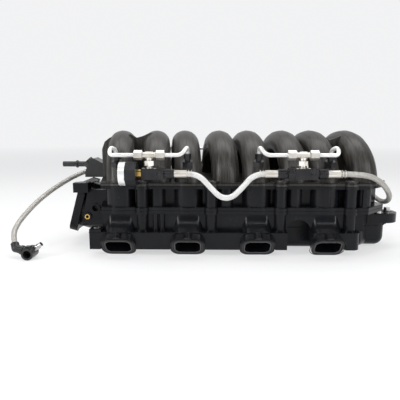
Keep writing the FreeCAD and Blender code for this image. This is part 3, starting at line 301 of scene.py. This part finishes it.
seam("low_weld_bead", "lower_shell", 0.0733, 0.0005)
seam("high_weld_bead", "middle_shell", 0.1138, 0.0005)
seam("roof_edge_bead", "upper_shell", 0.1187, 0.0007)
seam("shelf_edge_bead", "middle_shell", 0.0787, 0.0006)
seam("rail_edge_bead", "lower_shell", 0.0397, 0.0007)

PORT_X = [-0.1695, -0.0565, 0.0565, 0.1695]
PORT_Y, PORT_DIP = 0.117, 40.0
PORT_WIDE, PORT_HIGH, PORT_CORNER = 0.041, 0.029, 0.009
COLLAR_WIDE, COLLAR_HIGH, COLLAR_CORNER = 0.057, 0.042, 0.015
PORT_Z = COLLAR_HIGH / 2 * math.cos(math.radians(PORT_DIP))
ORIGIN_X, ORIGIN_Y = -0.0095, 0.0044
BANKS = {"near": Matrix.Translation((ORIGIN_X, ORIGIN_Y, 0)),
         "far": Matrix.Translation((ORIGIN_X, ORIGIN_Y, 0))
         @ Matrix.Translation((0.042, 0, 0)) @ Matrix.Rotation(math.pi, 4, "Z")}



def arch_run(x, bank, around, proud):
    """A line along the outside of a runner, at an angle round its section from the crown."""
    centre = Vector((x - SLANT * RUNNER_Y, 0, HIGH_WELD))
    reach = Vector((-SLANT * RUNNER_Y, RUNNER_Y, 0))
    rise = Vector((0, 0, CREST_Z - RUNNER_DEPTH / 2 - HIGH_WELD))
    sideways = reach.normalized().cross(Vector((0, 0, 1)))
    run = []
    for i in range(3, 70):
        t = math.pi * i / 72
        place = centre + reach * math.cos(t) + rise * math.sin(t)
        along = (rise * math.cos(t) - reach * math.sin(t)).normalized()
        out = sideways.cross(along)
        if out.dot(place - centre) < 0:
            out = -out
        place += out * (RUNNER_DEPTH / 2 * math.cos(around) + proud * math.cos(around))
        place += sideways * ((RUNNER_WIDTH / 2 + proud) * math.sin(around))
        run.append(BANKS[bank] @ place)
    return run


SLANT, RUNNER_Y, HIGH_WELD, CREST_Z = 0.12, 0.082, 0.114, 0.2025
RUNNER_DEPTH, RUNNER_WIDTH = 0.040, 0.046
lines = []
for bank in BANKS:
    for x in PORT_X:
        lines += [arch_run(x, bank, math.radians(a), -0.00012) for a in (-64, -38, -4, 30, 66)]
wires("runner_mould_lines", lines, 0.00045, "runner_plastic")


def rounded_run(width, height, corner, steps=7):
    """Points round a rounded rectangle in its own plane."""
    run = []
    for turn, (sx, sy) in enumerate(((1, 1), (-1, 1), (-1, -1), (1, -1))):
        for i in range(steps):
            angle = math.pi / 2 * (turn + i / (steps - 1))
            run.append(Vector((sx * (width / 2 - corner) + corner * math.cos(angle),
                               sy * (height / 2 - corner) + corner * math.sin(angle), 0)))
    return run


rims, outer_rims, lug_holes = [], [], []
for bank in BANKS.values():
    for x in PORT_X:
        face = bank @ Matrix.Translation((x, -PORT_Y, PORT_Z)) @ Matrix.Rotation(math.radians(90 + PORT_DIP), 4, "X")
        rims.append([face @ p for p in rounded_run(PORT_WIDE + 0.0012, PORT_HIGH + 0.0012, PORT_CORNER + 0.0006)])
        outer_rims.append([face @ p for p in rounded_run(COLLAR_WIDE - 0.0016, COLLAR_HIGH - 0.0016,
                                                         COLLAR_CORNER - 0.0008)])
        lug_holes.append((face @ Vector((0, 0.0228, 0.0001)), face.to_3x3() @ Vector((0, 0, 1)), 0.0012))
wires("port_inner_rims", rims, 0.0010, "rim_plastic", True, 2)
wires("port_outer_rims", outer_rims, 0.0006, "shell_plastic", True, 2)


def rings_along(name, places, finish, thick):
    """Rings round an axis; each place is centre, axis and radius."""
    runs = []
    for centre, axis, radius in places:
        axis = Vector(axis).normalized()
        across = axis.orthogonal().normalized()
        side = axis.cross(across)
        runs.append([Vector(centre) + (across * math.cos(a) + side * math.sin(a)) * radius
                     for a in (2 * math.pi * i / 28 for i in range(28))])
    return wires(name, runs, thick, finish, True)


def middle(node):
    low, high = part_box(node)
    return (Vector(low) + Vector(high)) / 2


crimps, grips = [], []
BLOCK_A, BLOCK_B, BLOCK_HALF = -0.115, 0.1225, 0.0125
for bank_name, bank in BANKS.items():
    starts = [(BLOCK_A + BLOCK_HALF, 1), (BLOCK_B - BLOCK_HALF, -1), (BLOCK_B + BLOCK_HALF, 1)]
    if bank_name == "far":
        starts.append((BLOCK_A - BLOCK_HALF, -1))
    for start, way in starts:
        for away in (0.0415, 0.0450, 0.0485, 0.0530):
            centre = bank @ Vector((start + way * away, -0.125, 0.136))
            crimps.append((centre, (1, 0, 0), 0.0059))
        for away in (0.0150, 0.0175, 0.0200, 0.0225):
            centre = bank @ Vector((start + way * away, -0.125, 0.136))
            grips.append((centre, (1, 0, 0), 0.0075))
rings_along("collar_crimps", crimps, "bright_fitting", 0.0005)
rings_along("hose_end_grips", grips, "black_fitting", 0.0006)
rings_along("land_lug_holes", lug_holes, "seal_rubber", 0.0006)


joints = []
for bank in BANKS.values():
    for block in (BLOCK_A, BLOCK_B):
        for way in (-1, 1):
            for away, radius in ((0.0102, 0.0056), (0.0238, 0.0042)):
                joints.append((bank @ Vector((block + way * away, -0.125, 0.165)), (1, 0, 0), radius))
        for height, radius in ((0.1462, 0.0053), (0.1566, 0.0046)):
            joints.append((bank @ Vector((block, -0.125, height)), (0, 0, 1), radius))
rings_along("tee_rings", joints, "plated_steel", 0.0005)


def gauge_face(bm):
    """Tick marks on the dial."""
    low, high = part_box("gauge_dial")
    centre = middle("gauge_dial")
    x = low[0] - 0.00006
    for i in range(41):
        angle = math.radians(-135 + 270 * i / 40)
        long = 0.0030 if i % 5 == 0 else 0.0016
        out = Vector((0, -math.sin(angle), math.cos(angle)))
        side = Vector((0, out.z, -out.y)) * (0.00022 if i % 5 else 0.0004)
        a, b = centre + out * 0.0150, centre + out * (0.0150 - long)
        corners = [a + side, a - side, b - side, b + side]
        front = [bm.verts.new((x, p.y, p.z)) for p in corners]
        bm.faces.new(front)


mesh_piece("dial_marks", gauge_face, "pointer_black")

# ---- floor and light ----

bpy.ops.mesh.primitive_plane_add(size=60.0)
floor = bpy.context.object
floor.name = "floor"
paper = surface("floor_paper", (0.38, 0.38, 0.39), (0.40, 0.40, 0.41), 0.8, grain=(3, 3, 3), bump=0.0,
                specular=0.0)
sheet = paper.node_tree
paper_shader = sheet.nodes["Principled BSDF"]
spot = sheet.nodes.new("ShaderNodeTexCoord")
reach = sheet.nodes.new("ShaderNodeVectorMath")
reach.operation = "LENGTH"
sheet.links.new(spot.outputs["Object"], reach.inputs[0])
for socket, here, away in (("Emission Strength", 0.58, 0.90), ("Base Color", 0.39, 0.0)):
    blend = sheet.nodes.new("ShaderNodeMapRange")
    blend.inputs["From Min"].default_value = 1.0
    blend.inputs["From Max"].default_value = 5.0
    blend.inputs["To Min"].default_value = here
    blend.inputs["To Max"].default_value = away
    sheet.links.new(reach.outputs["Value"], blend.inputs["Value"])
    sheet.links.new(blend.outputs["Result"], paper_shader.inputs[socket])
paper_shader.inputs["Emission Color"].default_value = (0.985, 0.99, 1.0, 1.0)
floor.data.materials.append(paper)
world = bpy.data.worlds.new("studio")
scene.world = world
world.use_nodes = True
sky = world.node_tree
toward = sky.nodes.new("ShaderNodeTexCoord")
amount = sky.nodes.new("ShaderNodeVectorMath")
amount.operation = "DOT_PRODUCT"
amount.inputs[1].default_value = (0.0, 1.0, 0.0)
shade = sky.nodes.new("ShaderNodeMapRange")
for socket, value in (("From Min", 0.0), ("From Max", 0.75), ("To Min", 0.20), ("To Max", 0.90)):
    shade.inputs[socket].default_value = value
sky.links.new(toward.outputs["Generated"], amount.inputs[0])
sky.links.new(amount.outputs["Value"], shade.inputs["Value"])
sky.links.new(shade.outputs["Result"], sky.nodes["Background"].inputs["Strength"])
sky.nodes["Background"].inputs["Color"].default_value = (0.985, 0.99, 1.0, 1.0)
scene.view_settings.view_transform = "Standard"


def lamp(name, place, target, size, power, colour=(1.0, 1.0, 1.0)):
    light = bpy.data.lights.new(name, "AREA")
    light.shape = "RECTANGLE"
    light.size, light.size_y = size
    light.energy = power
    light.color = colour
    item = bpy.data.objects.new(name, light)
    item.location = place
    item.rotation_euler = (Vector(target) - Vector(place)).to_track_quat("-Z", "Y").to_euler()
    scene.collection.objects.link(item)


lamp("top", (0.0, 0.15, 1.3), (0.0, 0.05, 0.1), (1.8, 0.5), 11.0)
lamp("left", (-1.3, -1.0, 0.7), (0.0, 0.0, 0.1), (0.25, 1.2), 15.0)
lamp("right", (1.2, -1.0, 0.6), (0.1, 0.0, 0.1), (0.2, 1.2), 9.0)
lamp("front", (0.1, -1.3, 1.3), (0.0, 0.0, 0.08), (2.2, 0.12), 7.0)
